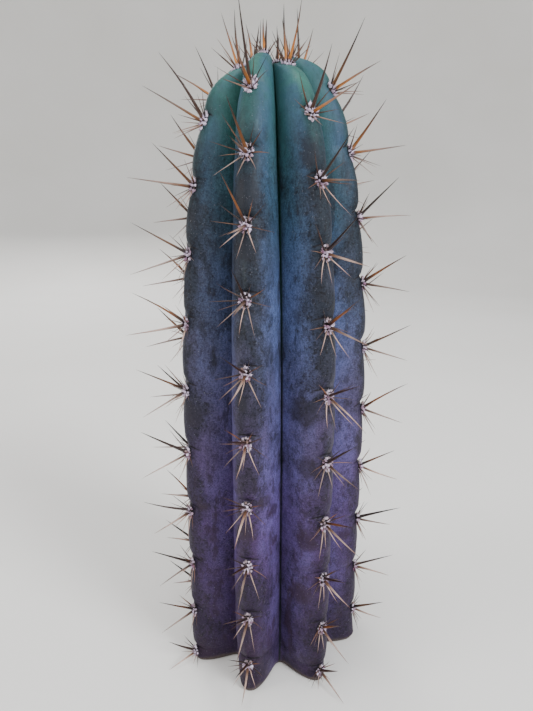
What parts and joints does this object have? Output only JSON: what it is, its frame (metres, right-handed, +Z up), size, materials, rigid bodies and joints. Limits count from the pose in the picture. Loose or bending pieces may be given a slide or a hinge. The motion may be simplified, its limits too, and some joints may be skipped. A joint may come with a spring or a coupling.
{
  "type": "cactus cutting",
  "caption": "Columnar cactus cutting: a blue-green ribbed stem with spine clusters along its rib crests, standing upright by itself on its flat cut end.",
  "frame": {"origin": "middle of the flat cut face at the foot of the stem, on the stem's axis", "axes": "+Z up along the stem's axis to the growing tip; -Y is the side that faces the viewer in the picture, with one rib crest turned 13.5 degrees from -Y towards -X"},
  "size_m": [0.0898, 0.0939, 0.211],
  "materials": {
    "skin": "satin waxy blue-green skin, teal at the growing tip, slate blue in the middle and violet-grey at the base, with darker mottling along the ribs",
    "spines": "smooth horn-like spines, dark red-brown at the root and golden orange to ivory towards the tip, the lower ones cream",
    "wool": "short off-white woolly felt of the areoles"
  },
  "bodies": {
    "root": {"cactus_cutting": "skin"}
  },
  "joints": []
}
